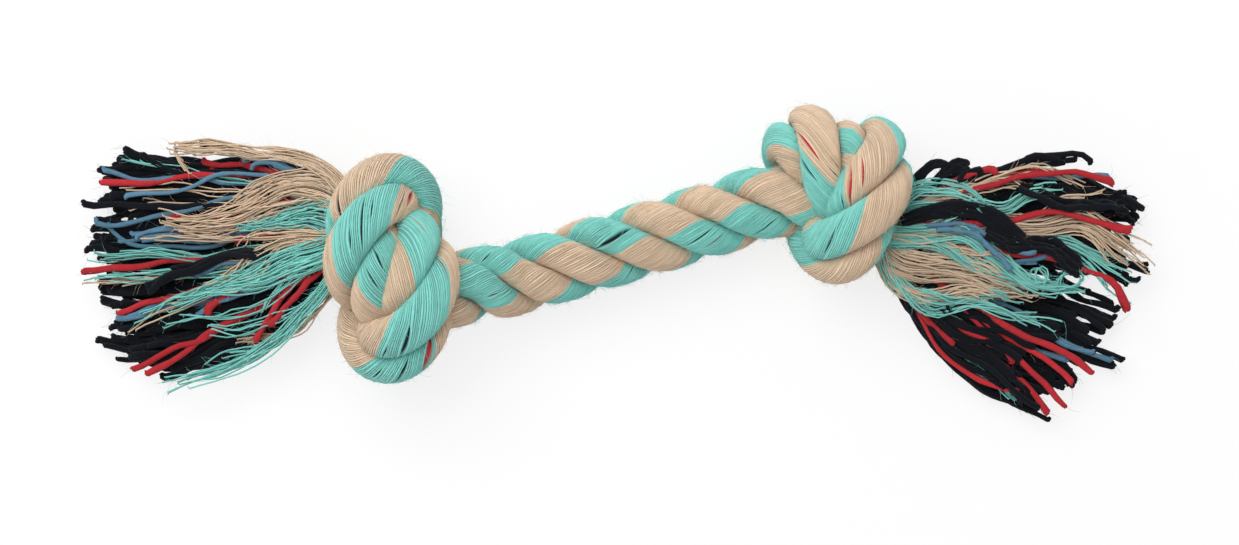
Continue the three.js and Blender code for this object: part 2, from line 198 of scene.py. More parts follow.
def rope_route(knot):
    """Centre line from the rope's middle, the length at each point, and the lengths where the knot is.

    A B-spline runs straight, round the knot and out to the tassel. It is then pulled tight about the knot's
    centre: squeezed along each axis within the knot, and drawn in past it by the integral of 1 - smoothstep.
    One span past the rope's middle it stays in place.
    """
    toward = toward_knot(knot)
    end = toward * straight_reach
    centre = end + rope_diameter * np.array(knot["centre_shares"])
    straight_shares = np.linspace(-spare_spans / straight_spans, 1, straight_spans + spare_spans + 1)
    straight = end * straight_shares[:, None]
    lead = centre + rope_diameter * np.array(knot["inner_lead_shares"])
    other_half_shares = knot_half_shares[:0:-1] * [-1, 1, -1]
    loop_shares = np.vstack([other_half_shares, knot_half_shares])[:: knot["side"]]
    loop = centre + rope_diameter * turned(loop_shares, knot["roll"], knot["turn"])
    step_shares = np.arange(tail_points)[:, None] * knot["tail_step_shares"]
    tail = centre + rope_diameter * (np.array(knot["outer_lead_shares"]) + step_shares)
    line = spline(np.vstack([straight, lead, loop, tail]), spline_steps)

    reach = knot["half_width_share"] * rope_diameter
    away = line - centre
    t = np.clip((np.abs(away[:, 0]) - reach) / rope_radius, 0, 1)
    drawn = np.minimum(np.abs(away[:, 0]), reach) + rope_radius * (t - t**3 + t**4 / 2)
    squeeze_shares = np.array(knot["squeeze_shares"])
    tight = line.copy()
    tight[:, 0] -= (1 - squeeze_shares[0]) * np.sign(away[:, 0]) * drawn
    faded = smooth((np.abs(away[:, 0]) - reach) / neck_fade)
    tight[:, 1:] -= (1 - squeeze_shares[1:]) * (1 - faded)[:, None] * away[:, 1:]
    kept = spare_spans * spline_steps
    tight += line[kept] - tight[kept]

    walked = distances(tight)
    straight_steps = straight_spans * spline_steps
    middle = np.interp(0, (tight @ toward)[:straight_steps], walked[:straight_steps])
    wanted = np.arange(middle, walked[-1], route_step)
    points = np.stack([np.interp(wanted, walked, tight[:, k]) for k in range(3)], 1)
    first = (len(straight) - 1) * spline_steps
    last = first + (len(loop) + 1) * spline_steps
    return points, wanted - middle, walked[first] - middle, walked[last] - middle


def carried_frames(points):
    """Direction, normal and side at each point of a line. Double reflection carries the normal along."""
    along = unit(np.gradient(points, axis=0))
    normal = np.array([0.0, 1.0, 0.0])
    normals = []
    for k, direction in enumerate(along):
        if k:
            step = points[k] - points[k - 1]
            normal = normal - 2 * step.dot(normal) / step.dot(step) * step
            mirror = direction - along[k - 1] + 2 * step.dot(along[k - 1]) / step.dot(step) * step
            normal = normal - 2 * mirror.dot(normal) / mirror.dot(mirror) * mirror
        normal = unit(normal - direction * direction.dot(normal))
        normals.append(normal)
    normals = np.array(normals)
    return along, normals, np.cross(along, normals)


def linear(red, green, blue):
    """Scene-linear colour of an sRGB colour in 0 to 255, by the sRGB curve."""
    share = np.array([red, green, blue]) / 255
    return np.where(share <= 0.04045, share / 12.92, ((share + 0.055) / 1.055) ** 2.4)


tints = {
    "mint": linear(128, 207, 197),
    "beige": linear(217, 191, 163),
    "black": linear(13, 17, 24),
    "red": linear(184, 46, 53),
    "blue": linear(90, 129, 153),
}


def skin(name, points, tint, uvs):
    """Mesh over copies of a grid of rows and columns: quads between neighbours, each row closed in a ring."""
    copies, rows, columns, _ = points.shape
    index = np.arange(copies * rows * columns).reshape(copies, rows, columns)
    right = np.roll(index, -1, axis=2)
    quads = np.stack([index[:, :-1], right[:, :-1], right[:, 1:], index[:, 1:]], -1).reshape(-1, 4)
    mesh = bpy.data.meshes.new(name)
    mesh.vertices.add(index.size)
    mesh.vertices.foreach_set("co", points.astype(np.float32).ravel())
    mesh.loops.add(quads.size)
    mesh.loops.foreach_set("vertex_index", quads.astype(np.int32).ravel())
    mesh.polygons.add(len(quads))
    mesh.polygons.foreach_set("loop_start", np.arange(0, quads.size, 4, dtype=np.int32))
    mesh.polygons.foreach_set("use_smooth", np.ones(len(quads), bool))
    mesh.update(calc_edges=True)
    colour = mesh.attributes.new("tint", "FLOAT_COLOR", "POINT")
    rgba = np.concatenate([tint.reshape(-1, 3), np.ones((index.size, 1))], 1)
    colour.data.foreach_set("color", rgba.astype(np.float32).ravel())
    layer = mesh.uv_layers.new(name="yarn")
    u, v = uvs[..., 0], uvs[..., 1]
    next_u = np.concatenate([u[:, :, 1:], u[:, :, :1] + 1], 2)
    corner_u = np.stack([u[:, :-1], next_u[:, :-1], next_u[:, 1:], u[:, 1:]], -1)
    corner_v = np.stack([v[:, :-1], v[:, :-1], v[:, 1:], v[:, 1:]], -1)
    layer.data.foreach_set("uv", np.stack([corner_u, corner_v], -1).astype(np.float32).ravel())
    made = bpy.data.objects.new(name, mesh)
    bpy.context.scene.collection.objects.link(made)
    return made


def wired(tree, node, inputs):
    """The node, with each named or numbered input set to its value or linked to its socket."""
    for name, value in inputs.items():
        if isinstance(value, bpy.types.NodeSocket):
            tree.links.new(value, node.inputs[name])
        else:
            node.inputs[name].default_value = value
    return node


def worked(tree, operation, *values):
    """Output of a maths node over numbers and sockets."""
    node = tree.nodes.new("ShaderNodeMath")
    node.operation = operation
    return wired(tree, node, dict(enumerate(values))).outputs["Value"]


def yarn_material(name, twist_length, twist_depth, sheen, tone_share):
    """Soft spun yarn: uneven dye, and fibres laid round the yarn with its twist, which raise it and shade it.

    The yarn's uv counts turns round it and metres along it. Noise over a circle turned with the twist gives
    each fibre its streak along the yarn. Noise in the object's space makes the dye uneven.
    """
    material = bpy.data.materials.new(name)
    material.use_nodes = True
    tree = material.node_tree
    yarn_uv = tree.nodes.new("ShaderNodeUVMap")
    yarn_uv.uv_map = "yarn"
    uv = wired(tree, tree.nodes.new("ShaderNodeSeparateXYZ"), {"Vector": yarn_uv.outputs["UV"]}).outputs
    turns = worked(tree, "MULTIPLY_ADD", uv["Y"], 1 / twist_length, uv["X"])
    angle = worked(tree, "MULTIPLY", turns, math.tau)
    twisted = wired(tree, tree.nodes.new("ShaderNodeCombineXYZ"), {
        "X": worked(tree, "COSINE", angle),
        "Y": worked(tree, "SINE", angle),
        "Z": worked(tree, "MULTIPLY", uv["Y"], 1 / twist_length),
    })
    fibres = wired(tree, tree.nodes.new("ShaderNodeTexNoise"), {
        "Vector": twisted.outputs["Vector"], "Scale": 1.7, "Detail": 3, "Roughness": 0.7,
    }).outputs["Fac"]
    raised = wired(tree, tree.nodes.new("ShaderNodeBump"), {
        "Height": fibres, "Strength": 0.8, "Distance": twist_depth,
    })
    object_place = tree.nodes.new("ShaderNodeTexCoord").outputs["Object"]
    patches = wired(tree, tree.nodes.new("ShaderNodeTexNoise"), {
        "Vector": object_place, "Scale": 500, "Detail": 4,
    }).outputs["Fac"]
    shade = worked(tree, "MULTIPLY_ADD", worked(tree, "ADD", patches, fibres), tone_share, 1 - tone_share)
    tint = tree.nodes.new("ShaderNodeAttribute")
    tint.attribute_name = "tint"
    dyed = tree.nodes.new("ShaderNodeVectorMath")
    dyed.operation = "SCALE"
    wired(tree, dyed, {0: tint.outputs["Color"], "Scale": shade})
    wired(tree, tree.nodes["Principled BSDF"], {
        "Base Color": dyed.outputs["Vector"], "Normal": raised.outputs["Normal"], "Roughness": 0.9,
        "Specular IOR Level": 0.08, "Sheen Weight": sheen, "Sheen Roughness": 0.6,
    })
    return material


# How the cover yarns lie, and how their edges, thickness, tint and the painted shade in the grooves
# between them waver along them: by which share, and with a new value every pitch.
cover_yarns = 56
yarn_height = 0.00027
groove_depth = 0.00016
core_depth = 0.0008
rope_span = 0.3
ellipse_steps = 180
cover_seed = 20
waver_places = 150
edge_waver_shares = (0.34, 0.14)
edge_waver_pitches = (0.008, 0.004)
thickness_waver_share = 0.42
thickness_waver_pitch = 0.007
tint_waver_share = 0.11
tint_waver_pitch = 0.0045
# The grooves between the yarns carry painted shade: a darker copy of each yarn's tint, wavering along it.
groove_shade_waver_share = 0.7
groove_shade_waver_pitch = 0.006
yarn_tone_shares = (0.93, 1.07)
painted_groove_shade_share = 0.4
crown_shares = np.array([-0.75, -0.35, 0.35, 0.75])
crown_height_shares = np.sqrt(1 - crown_shares**2)
groove_shares = np.array([0.25, 0.75])

# A slit is looked for near its pixel, in the top layer of yarns, and drawn wider than it measures. It pushes
# aside the yarns beside it, each a step less.
slit_search_pixels = 4
slit_layer = 0.003
slit_widening_share = 1.3
parted_yarns = 7


def waver(random, count, lengths, pitch):
    """Random values from -1 to 1 for several yarns at each length: one every pitch, joined by smoothsteps."""
    at = lengths / pitch
    values = random.uniform(-1, 1, (count, waver_places))
    first = at.astype(int)
    t = smooth(at - first)
    return values[:, first] * (1 - t) + values[:, first + 1] * t


def strand_axes(knot, strand):
    """Directions out from the rope's centre line through a strand, and round the rope, at each point."""
    along, normals, sides = knot["frames"]
    angle = knot["lay"] + math.tau * strand / 3
    outward = np.cos(angle)[:, None] * normals + np.sin(angle)[:, None] * sides
    return outward, np.cross(along, outward)


def strand_surface(knot, strand, columns, height):
    """Points of a strand's skin at places round it counted in yarns, at heights over its core.

    The strand's section is an ellipse, walked by arc length. Its yarns turn round it with the lay and the
    knot's own twist.
    """
    ratio = strand_around_share / strand_out_share
    angle = np.linspace(0, math.tau, ellipse_steps + 1)
    speed = np.hypot(np.sin(angle), ratio * np.cos(angle))
    walked = np.r_[0, np.cumsum((speed[1:] + speed[:-1]) / 2)]
    phase = knot["yarn_turns"][strand] + strand / 3
    share = columns / cover_yarns - phase[:, None]
    around_at = np.interp(np.mod(share, 1), walked / walked[-1], angle)
    scale = (rope_radius * knot["fullness"])[:, None]
    out = strand_out_share * scale - yarn_height
    wide = strand_around_share * scale - yarn_height
    x, y = np.cos(around_at), np.sin(around_at)
    size = np.hypot(x / out, y / wide)
    radial = strand_place_share * rope_radius + x * out + height * x / out / size
    tangential = y * wide + height * y / wide / size
    outward, around = strand_axes(knot, strand)
    points = knot["points"][:, None] + radial[..., None] * outward[:, None]
    return points + tangential[..., None] * around[:, None] + rope_middle


def find_slits(knot):
    """Slits as (strand, groove, length along the rope, half length, width, colour), from their pixels."""
    lengths = knot["lengths"]
    grooves = np.broadcast_to(np.arange(cover_yarns) + 1.0, (len(lengths), cover_yarns))
    lines = np.stack([strand_surface(knot, strand, grooves, yarn_height) for strand in range(3)])
    right = (lines[..., 0] - rope_middle[0]) / pixel + rope_middle_pixel[0]
    down = rope_middle_pixel[1] - (lines[..., 1] - rope_middle[1]) / pixel
    found = []
    for x, y, length, width, colour in knot["slits"]:
        off = np.hypot(right - x, down - y)
        top = lines[..., 2][off < off.min() + slit_search_pixels].max()
        off = np.where(lines[..., 2] > top - slit_layer, off, np.inf)
        strand, row, groove_at = np.unravel_index(np.argmin(off), off.shape)
        opened = slit_widening_share * width * pixel
        found.append((strand, groove_at, lengths[row], length * pixel / 2, opened, colour))
    return found


def pushed(steps):
    """Share of half a slit's width by which a yarn gives way, some steps from the slit."""
    return np.clip(1 - steps / parted_yarns, 0, 1)


def part_yarns(lengths, strand, slits, starts, ends):
    """Move the starts and ends of a strand's yarns apart at its slits.

    Gives how far each groove opens, in yarns, and the tint inside it. Along a slit the width is a parabola.
    """
    opening = np.zeros(starts.shape)
    inner_tint = np.zeros(starts.shape + (3,))
    yarn_width = math.tau * rope_radius * (strand_out_share + strand_around_share) / 2 / cover_yarns
    for slit_strand, groove_at, centre, half_length, width, colour in slits:
        if slit_strand == strand:
            gap = width / yarn_width * np.clip(1 - ((lengths - centre) / half_length) ** 2, 0, 1)
            after = np.mod(np.arange(cover_yarns) - groove_at - 1, cover_yarns)
            before = cover_yarns - 1 - after
            starts += gap[:, None] / 2 * (pushed(after) - pushed(before + 1))
            ends += gap[:, None] / 2 * (pushed(after + 1) - pushed(before))
            opening[:, groove_at] += gap
            inner_tint[gap > 0, groove_at] = tints[colour]
    return opening, inner_tint


def cover(name, knot, strand, slits):
    """Skin of one strand, the line along the back of each of its yarns, and the yarn's tint.

    Four points lie across the round back of each yarn, then two across the groove beside it. The groove's
    tint is painted shade, a darker copy of the yarn's tint, except in a slit, where the core's colour shows.
    The uv's u runs half a turn over the back and half a turn over the groove.
    """
    lengths = knot["lengths"]
    random = np.random.default_rng(cover_seed + strand)
    from_end = rope_span + lengths * knot["side"]
    edges = np.arange(cover_yarns + 1) + np.zeros((len(lengths), 1))
    for share, pitch in zip(edge_waver_shares, edge_waver_pitches):
        edges[:, 1:-1] += share * waver(random, cover_yarns - 1, from_end, pitch).T
    thickness = 1 + thickness_waver_share * waver(random, cover_yarns, from_end, thickness_waver_pitch).T
    starts, ends = edges[:, :-1].copy(), edges[:, 1:].copy()
    opening, inner_tint = part_yarns(lengths, strand, slits, starts, ends)
    next_starts = np.roll(starts, -1, axis=1)
    next_starts[:, -1] += cover_yarns
    crown_columns = (starts + ends)[..., None] / 2 + (ends - starts)[..., None] / 2 * crown_shares
    groove_columns = ends[..., None] + (next_starts - ends)[..., None] * groove_shares
    columns = np.concatenate([crown_columns, groove_columns], -1).reshape(len(lengths), -1)
    crown_height = yarn_height * thickness[..., None] * crown_height_shares
    groove_height = -groove_depth - core_depth * np.clip(opening, 0, 1)
    height = np.concatenate([crown_height, np.stack([groove_height, groove_height], -1)], -1)
    points = strand_surface(knot, strand, columns, height.reshape(len(lengths), -1))

    yarn = np.arange(cover_yarns)
    tone = random.uniform(*yarn_tone_shares, (cover_yarns, 1))
    yarn_tint = np.where((yarn < cover_yarns / 2)[:, None], tints["mint"], tints["beige"]) * tone
    uneven = 1 + tint_waver_share * waver(random, cover_yarns, from_end, tint_waver_pitch).T
    across = len(crown_shares) + len(groove_shares)
    tint = yarn_tint[None, :, None] * uneven[..., None, None] * np.ones((across, 1))
    # Painted shade in the grooves: a darker, wavering copy of the yarn's tint. A slit shows the core's own
    # colour.
    shaded = 1 + groove_shade_waver_share * waver(random, cover_yarns, from_end, groove_shade_waver_pitch).T
    groove_shade_and_core_tint = painted_groove_shade_share * shaded[..., None] * yarn_tint
    groove_shade_and_core_tint = np.where(opening[..., None] > 0, inner_tint, groove_shade_and_core_tint)
    tint[:, :, len(crown_shares):] = groove_shade_and_core_tint[:, :, None]
    u = np.broadcast_to(np.r_[crown_shares / 4, groove_shares / 2 + 0.25], tint.shape[:3])
    v = lengths[:, None, None] + yarn[:, None] * rope_span + np.zeros_like(u)
    uvs = np.stack([u, v], -1).reshape(1, len(lengths), -1, 2)
    made = skin(name, points[None], tint.reshape(1, len(lengths), -1, 3), uvs)
    return made, points.reshape(len(lengths), cover_yarns, -1, 3)[:, :, 1], yarn_tint


# Rope fuzz: the loose ends of cotton fibres that stand off the cover yarns of a toy in use.
# They are spun into a yarn at one end. The fibres beside each knot are one piece, of thin three-sided tubes.
hairs_per_strand = 3500
hair_radius = 0.000045
hair_taper_shares = np.array([1, 0.9, 0.7, 0.4])
hair_sides = 3
hair_lengths = (0.001, 0.0032)
hair_lift_shares = (0.05, 0.65)
hair_curl_share = 0.6
hair_tone_shares = (0.9, 1.25)
hair_seed = 5
hair_random = np.random.default_rng(hair_seed)
hair_twist = {"twist_length": 0.0025, "twist_depth": 0.00002}
hair_material = yarn_material("hair", **hair_twist, sheen=0.3, tone_share=0.1)


def tubes(name, paths, radii, sides_count, tint):
    """Round tubes along several paths: rings square to each path, which start from its level side."""
    ahead = unit(np.gradient(paths, axis=1))
    level = unit(np.cross([0, 0, 1.0], ahead))
    upward = np.cross(ahead, level)
    angle = np.arange(sides_count) * math.tau / sides_count
    ring = np.cos(angle)[:, None] * level[:, :, None] + np.sin(angle)[:, None] * upward[:, :, None]
    points = paths[:, :, None] + radii[:, :, None, None] * ring
    copies, rows = radii.shape
    steps = np.linalg.norm(np.diff(paths, axis=1), axis=2)
    along = np.concatenate([np.zeros((copies, 1)), np.cumsum(steps, axis=1)], 1)
    along += np.arange(copies)[:, None] * rope_span
    u = np.broadcast_to(np.arange(sides_count) / sides_count, (copies, rows, sides_count))
    v = np.broadcast_to(along[..., None], u.shape)
    tint = np.broadcast_to(tint[:, None, None], points.shape)
    return skin(name, points, tint, np.stack([u, v], -1))


def hair_tubes(name, grown):
    """One piece of thin tubes from several groups of fibres, each group its paths and their tints."""
    paths, tint = [np.concatenate(part) for part in zip(*grown)]
    paths[..., 2] = np.maximum(paths[..., 2], hair_radius)
    radii = np.broadcast_to(hair_radius * hair_taper_shares, paths.shape[:2])
    made = tubes(name, paths, radii, hair_sides, tint)
    made.data.materials.append(hair_material)
    return made


def curled(roots, ahead, away, size, lift, curl):
    """Paths of fibres: ahead from their roots, lifted away by a parabola and curled aside by a square."""
    t = np.linspace(0, 1, len(hair_taper_shares))[:, None]
    aside = curl * t**2 * np.cross(ahead, away)[:, None]
    return roots[:, None] + size * (t * ahead[:, None] + lift * (t - t**2 / 2) * away[:, None] + aside)


def rope_hairs(knot, strand, backs, back_tints):
    """Loose fibres of a strand, each from a random place on the back of one of its yarns, and their tints."""
    rows = hair_random.integers(1, len(backs) - 1, hairs_per_strand)
    yarns = hair_random.integers(0, cover_yarns, hairs_per_strand)
    roots = backs[rows, yarns]
    ahead = unit(backs[rows + 1, yarns] - backs[rows - 1, yarns])
    ahead *= hair_random.choice([-1, 1], (hairs_per_strand, 1))
    outward, _ = strand_axes(knot, strand)
    centre = rope_middle + knot["points"][rows] + strand_place_share * rope_radius * outward[rows]
    size = hair_random.uniform(*hair_lengths, (hairs_per_strand, 1, 1))
    lift = hair_random.uniform(*hair_lift_shares, (hairs_per_strand, 1, 1))
    curl = hair_random.normal(0, hair_curl_share, (hairs_per_strand, 1, 1))
    hairs = curled(roots, ahead, unit(roots - centre), size, lift, curl)
    return hairs, back_tints[yarns] * hair_random.uniform(*hair_tone_shares, (hairs_per_strand, 1))


# Covers and fuzz on each side of the rope. Inside the knot the strands swell and lie at the knot's own lay,
# and they taper to the tail.
thin_twist = {"twist_length": 0.0025, "twist_depth": 0.0002}
cover_material = yarn_material("cover_yarn", **thin_twist, sheen=0.2, tone_share=0.2)
for side_name, knot in knots.items():
    side = knot["side"]
    points, lengths, starts_at, ends_at = rope_route(knot)
    keep = lengths <= ends_at + tail_length
    points, lengths = points[keep], lengths[keep]
    along, normals, sides = carried_frames(points)
    knot["points"], knot["lengths"], knot["frames"] = points, lengths, (along * side, normals, sides * side)
    into = (lengths - starts_at) / knot_ramp
    inside = smooth(into + 0.5) * smooth((ends_at - lengths) / knot_ramp + 0.5)
    closing = smooth((lengths[-1] - lengths) / tail_taper)
    tail_shares = tail_width_share + (1 - tail_width_share) * closing
    knot["fullness"] = (1 + (knot["swell_share"] - 1) * inside) * tail_shares
    rate = (1 - inside) / lay_length + inside / knot["lay_length"]
    turned_through = (np.cumsum(rate) - rate[0]) * route_step * math.tau
    knot["lay"] = lay_offset + side * (turned_through + knot["lay_slack"] * smooth(into / 2 + 0.5))
    twist = [np.interp(lengths / cover_twist_step, range(len(row)), row) for row in knot["cover_twist"]]
    knot["yarn_turns"] = (yarn_turns * knot["lay"] + np.array(twist)) / math.tau
    slits = find_slits(knot)
    grown = []
    for strand in range(3):
        made, backs, back_tints = cover(f"{side_name}_cover_{strand + 1}", knot, strand, slits)
        made.data.materials.append(cover_material)
        grown.append(rope_hairs(knot, strand, backs, back_tints))
        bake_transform(made)
        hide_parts(f"middle_strand_{strand + 1}", f"middle_core_{strand + 1}")
        for part in ("neck_strand", "knot_strand", "knot_core"):
            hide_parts(f"{side_name}_{part}_{strand + 1}")
    made = hair_tubes(f"{side_name}_fuzz", grown)
    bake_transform(made)

# Tassels: the strands' ends opened into yarns, which only the knot holds. The thin mint and beige cover yarns
# lie in flat, crimped locks. The thick, soft black, red and blue core yarns lie below and between them and
# reach farthest. Each colour of a tassel is one piece, and so are its loose fibres.
tassel_seed = 11
tassel_random = np.random.default_rng(tassel_seed)
thin_colours = {"mint", "beige"}
yarn_radius = {"mint": 0.0003, "beige": 0.0003, "black": 0.00088, "red": 0.0009, "blue": 0.0007}
yarn_density = {"mint": 1.35, "beige": 1.5, "black": 1.8, "red": 1, "blue": 1.4}
thick_from = 0.0005
tassel_reach = 0.08

# Rings along a yarn, rings on its round end, and sides round it, for thin and thick yarns.
thin_mesh = (24, 2, 3)
thick_mesh = (34, 5, 7)
round_end_share = 0.97
onward_steps = 8
lock_spline_steps = 30

# How unlike each other the yarns of a lock are, in radius, reach, seat, crimp and stray. Their crimps are out
# of step by a share of a turn, and by a turn more for each crimp_phase_pixels of the lock's half width.
yarn_radius_shares = (0.88, 1.1)
yarn_reach_shares = (0.86, 1.03)
seat_spread_share = 0.25
crimp_size = 0.0013
crimp_lengths = (0.018, 0.026)
crimp_grown_share = 0.4
crimp_phase_share = 0.05
crimp_phase_pixels = 300
stray_size = 0.0009
stray_pitch = 0.015
fine_stray_share = 0.4
fine_stray_pitch = 0.006
root_stray_share = 0.5

# Where each tassel leaves its knot, and how its layers of yarn fall from there to the table within a share of
# its reach. Thick yarns below the top layer are buried under the others at their root.
mouth_pixels = {"left": (345, 235), "right": (890, 235)}
mouth_heights = {"left": 0.0265, "right": 0.0205}
mouth_half_height = 0.005
lowest_layer = 0.002
highest_layer = 0.015
fall_share = 2 / 3
layer_spread_share = 0.07
top_layer_share = 0.89
buried_share = 0.3
buried_length_share = 0.75
pile_radii = 3

# The thick yarns are lumpy, and some of their ends are frayed wider.
lump_share = 0.17
lump_pitch = 0.004
frayed_swell_share = 0.45
frayed_from_share = 0.88
frayed_length_share = 0.08
tassel_tone_shares = (0.8, 1.14)

# Loose fibres of the tassels.
hairs_per_yarn = 8
hairless_rings = 2
hair_root_share = 0.8
tassel_hair_lengths = (0.001, 0.0035)
tassel_hair_lift_share = 0.8
tassel_hair_curl_share = 0.7
tassel_hair_tone_shares = (1, 1.4)

# The height of a place above each tassel's mouth.
swing_height = 0.02

# Each lock: how many yarns, how high it lies from 0 at the floor to 1 on top, how strongly it is crimped, its
# half width along it in pixels, and its middle line in pixels of the photograph, from inside the knot
# outwards. Most locks of the right tassel start at one root inside the rope's end.
root = (868, 222)
locks = {}
locks["left", "black"] = [
    (26, 0.1, 0.5, [18, 60, 100, 108, 96], [(350, 236), (300, 248), (240, 260), (170, 264), (100, 262)]),
    (22, 0.25, 0.5, [16, 55, 92, 98, 88], [(350, 236), (300, 248), (240, 260), (170, 264), (108, 262)]),
    (5, 0.45, 0.3, [8, 7, 8], [(350, 205), (300, 168), (240, 166), (180, 172), (120, 165), (100, 163)]),
    (1, 0.55, 0.2, [1], [(350, 210), (260, 170), (180, 172), (156, 163), (139, 151)]),
    (1, 0.5, 0.2, [1], [(350, 210), (260, 172), (170, 170), (135, 158), (120, 150)]),
    (1, 0.8, 0.1, [1], [(345, 200), (310, 160), (270, 152), (223, 147), (199, 143)]),
    (5, 0.4, 0.3, [8, 10, 9], [(350, 215), (290, 180), (230, 186), (170, 190), (110, 190)]),
    (5, 0.35, 0.3, [8, 12, 8], [(350, 222), (290, 200), (230, 208), (170, 205), (100, 200)]),
    (1, 0.6, 0.3, [1], [(350, 220), (240, 200), (170, 210), (109, 205), (79, 201)]),
    (5, 0.35, 0.3, [8, 12, 8], [(350, 230), (290, 225), (230, 225), (160, 225), (90, 224)]),
    (5, 0.3, 0.3, [8, 10, 9], [(350, 235), (290, 240), (230, 243), (160, 243), (88, 240)]),
    (2, 0.89, 0.6, [2, 3, 3], [(350, 240), (290, 250), (236, 254), (204, 261), (170, 276), (150, 290)]),
    (5, 0.3, 0.3, [8, 9, 6], [(350, 245), (290, 265), (230, 278), (160, 283), (82, 291)]),
    (6, 0.4, 0.3, [8, 14, 10], [(350, 252), (300, 278), (240, 300), (180, 313), (118, 325)]),
    (6, 0.4, 0.3, [7, 13, 10], [(350, 255), (310, 285), (260, 315), (200, 345), (130, 358)]),
    (4, 0.35, 0.3, [6, 10, 5], [(350, 258), (320, 290), (270, 325), (220, 350), (160, 376)]),
]
locks["left", "red"] = [
    (1, 0.62, 0.3, [1], [(345, 215), (280, 178), (206, 173), (178, 178), (152, 180), (109, 181),
        (97, 179)]),
    (2, 0.55, 0.2, [2, 4], [(345, 212), (280, 170), (221, 164), (192, 162)]),
    (1, 0.75, 0.4, [1], [(350, 225), (300, 192), (244, 207), (222, 214), (199, 221), (168, 217)]),
    (2, 0.72, 0.2, [2, 3], [(350, 235), (282, 233), (254, 237), (225, 241)]),
    (1, 0.62, 0.3, [1], [(345, 240), (260, 258), (195, 260), (161, 264), (127, 269), (101, 271),
        (80, 268)]),
    (1, 0.6, 0.3, [1], [(345, 250), (290, 262), (220, 285), (152, 298), (135, 305), (113, 310)]),
    (1, 0.8, 0.2, [1], [(345, 252), (318, 275), (304, 291), (285, 313), (272, 328)]),
    (1, 0.75, 0.2, [1], [(345, 252), (290, 288), (278, 305), (264, 327), (252, 340)]),
    (1, 0.7, 0.3, [1], [(345, 255), (280, 295), (235, 315), (213, 329), (187, 343), (144, 374)]),
    (1, 0.65, 0.3, [1], [(345, 255), (270, 300), (216, 329), (178, 350), (147, 360), (129, 370)]),
    (1, 0.7, 0.2, [1], [(345, 250), (280, 275), (228, 294), (204, 313)]),
]
locks["left", "blue"] = [
    (2, 0.75, 0.2, [2], [(350, 212), (288, 166), (264, 162), (235, 166)]),
    (1, 0.7, 0.2, [1], [(350, 215), (290, 180), (230, 172), (213, 174), (185, 187), (170, 195),
        (123, 195)]),
    (1, 0.62, 0.3, [1], [(350, 215), (250, 180), (170, 174), (144, 176), (118, 173), (99, 170)]),
    (1, 0.7, 0.3, [1], [(350, 222), (290, 195), (223, 199), (178, 209), (144, 217), (109, 223), (92, 223)]),
    (4, 0.55, 0.4, [4, 8, 5], [(350, 228), (250, 228), (180, 234), (150, 237), (118, 238)]),
    (1, 0.7, 0.2, [1], [(345, 235), (290, 243), (239, 259), (221, 261), (209, 269), (195, 278)]),
    (1, 0.65, 0.2, [1], [(345, 232), (250, 240), (190, 250), (156, 247), (118, 236), (103, 224)]),
    (1, 0.72, 0.2, [1], [(345, 250), (290, 275), (220, 296), (196, 317)]),
    (2, 0.5, 0.3, [2, 3], [(345, 250), (240, 290), (160, 310), (113, 319)]),
]
locks["left", "beige"] = [
    (11, 0.95, 0.15, [10, 7, 5, 6], [(352, 203), (340, 180), (316, 162), (290, 155), (247, 152), (213, 147),
        (170, 146)]),
    (4, 0.97, 0.1, [3, 3, 2], [(352, 203), (330, 168), (290, 156), (230, 150), (185, 146), (168, 144),
        (176, 156), (189, 169)]),
    (12, 0.92, 0.4, [14, 12, 9, 7], [(352, 215), (335, 190), (300, 185), (265, 196), (240, 212), (213, 222),
        (160, 220)]),
    (6, 0.95, 0.1, [6, 5, 5], [(350, 208), (330, 175), (290, 175), (262, 182), (245, 195), (230, 207)]),
    (6, 0.88, 0.6, [8, 7, 4], [(352, 225), (335, 200), (290, 204), (262, 218), (247, 226), (172, 228)]),
    (3, 0.85, 0.3, [2, 2, 3], [(350, 232), (287, 234), (247, 240), (230, 238), (196, 242), (140, 237)]),
    (3, 0.88, 0.2, [2, 3, 1], [(350, 232), (282, 230), (256, 231), (241, 243), (239, 250)]),
    (5, 0.88, 0.3, [3, 4, 5], [(350, 238), (300, 240), (273, 244), (247, 264), (230, 278), (205, 288)]),
    (3, 0.9, 0.2, [2, 3, 2], [(350, 240), (280, 243), (264, 270), (247, 283), (217, 292)]),
    (4, 0.6, 0.3, [2, 4, 3], [(345, 240), (240, 262), (160, 280), (110, 281), (85, 283)]),
    (8, 0.5, 0.5, [5, 5, 3], [(352, 262), (325, 303), (304, 327), (264, 336), (235, 344)]),
    (3, 0.75, 0.3, [2, 3, 3], [(345, 250), (240, 285), (173, 303), (149, 319), (125, 334)]),
    (2, 0.65, 0.3, [2, 3], [(340, 220), (230, 190), (160, 186), (128, 192), (108, 187)]),
    (2, 0.65, 0.3, [2, 3], [(340, 220), (240, 205), (180, 201), (155, 203), (128, 206)]),
]
